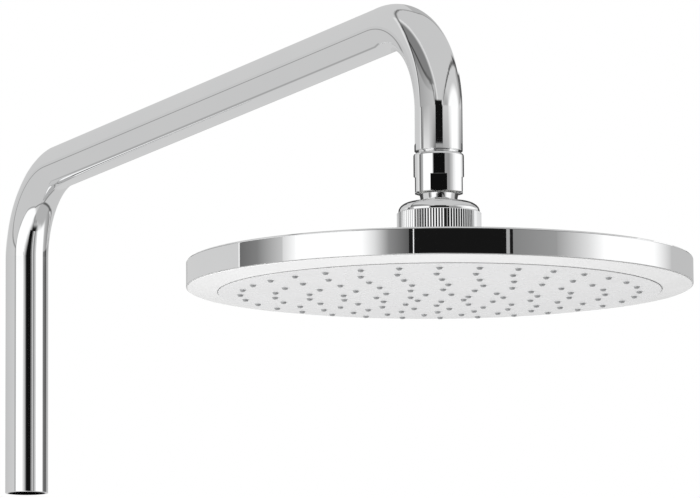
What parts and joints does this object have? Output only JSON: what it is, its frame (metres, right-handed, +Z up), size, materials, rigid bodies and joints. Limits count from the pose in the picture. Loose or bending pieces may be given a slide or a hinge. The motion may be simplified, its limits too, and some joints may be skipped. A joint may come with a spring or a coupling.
{
  "type": "overhead shower with bent riser arm",
  "caption": "Chromed bent riser arm with a ball-jointed round rain head, a ribbed collar nut and a white spray face with soft nozzles.",
  "frame": {"origin": "centre of the riser's lower end, on the tube's axis", "axes": "+Z up along the riser, +X horizontal from the riser along the arm to the head, +Y completes the right-handed frame"},
  "size_m": [0.587, 0.25, 0.2138],
  "materials": {
    "chrome": "polished chrome plate",
    "rubber": "moulded black rubber",
    "steel": "stainless steel",
    "pom": "natural acetal",
    "inner_plastic": "moulded light grey",
    "silicone": "soft grey silicone",
    "face_plastic": "satin pale grey",
    "ring_plastic": "smooth white"
  },
  "bodies": {
    "arm": {"arm_tube": "chrome", "arm_nipple": "chrome", "inlet_gasket": "rubber", "inlet_screen": "steel", "swivel_connector": "chrome", "flow_limiter_body": "pom", "flow_limiter_ring": "rubber"},
    "swivel": {"slip_ring": "pom"},
    "cradle": {"ball_seat_ring": "pom"},
    "head": {"seat_seal": "rubber", "collar_nut": "chrome", "head_shell": "chrome", "inlet_seal": "rubber", "chamber_plate": "inner_plastic", "flow_deflector": "pom", "nozzle_mat": "silicone", "spray_plate": "face_plastic", "face_ring": "ring_plastic", "plate_screws": "steel"}
  },
  "joints": [
    {"name": "swivel_turn", "type": "hinge", "parent": "arm", "child": "swivel", "pos_m": [0.45, 0, 0.09821], "axis": [0, 0, 1], "continuous": true},
    {"name": "head_tilt", "type": "hinge", "parent": "swivel", "child": "cradle", "pos_m": [0.45, 0, 0.09821], "axis": [0, 1, 0], "range_deg": [-15, 15]},
    {"name": "head_spin", "type": "hinge", "parent": "cradle", "child": "head", "pos_m": [0.45, 0, 0.09821], "axis": [0, 0, 1], "continuous": true}
  ]
}
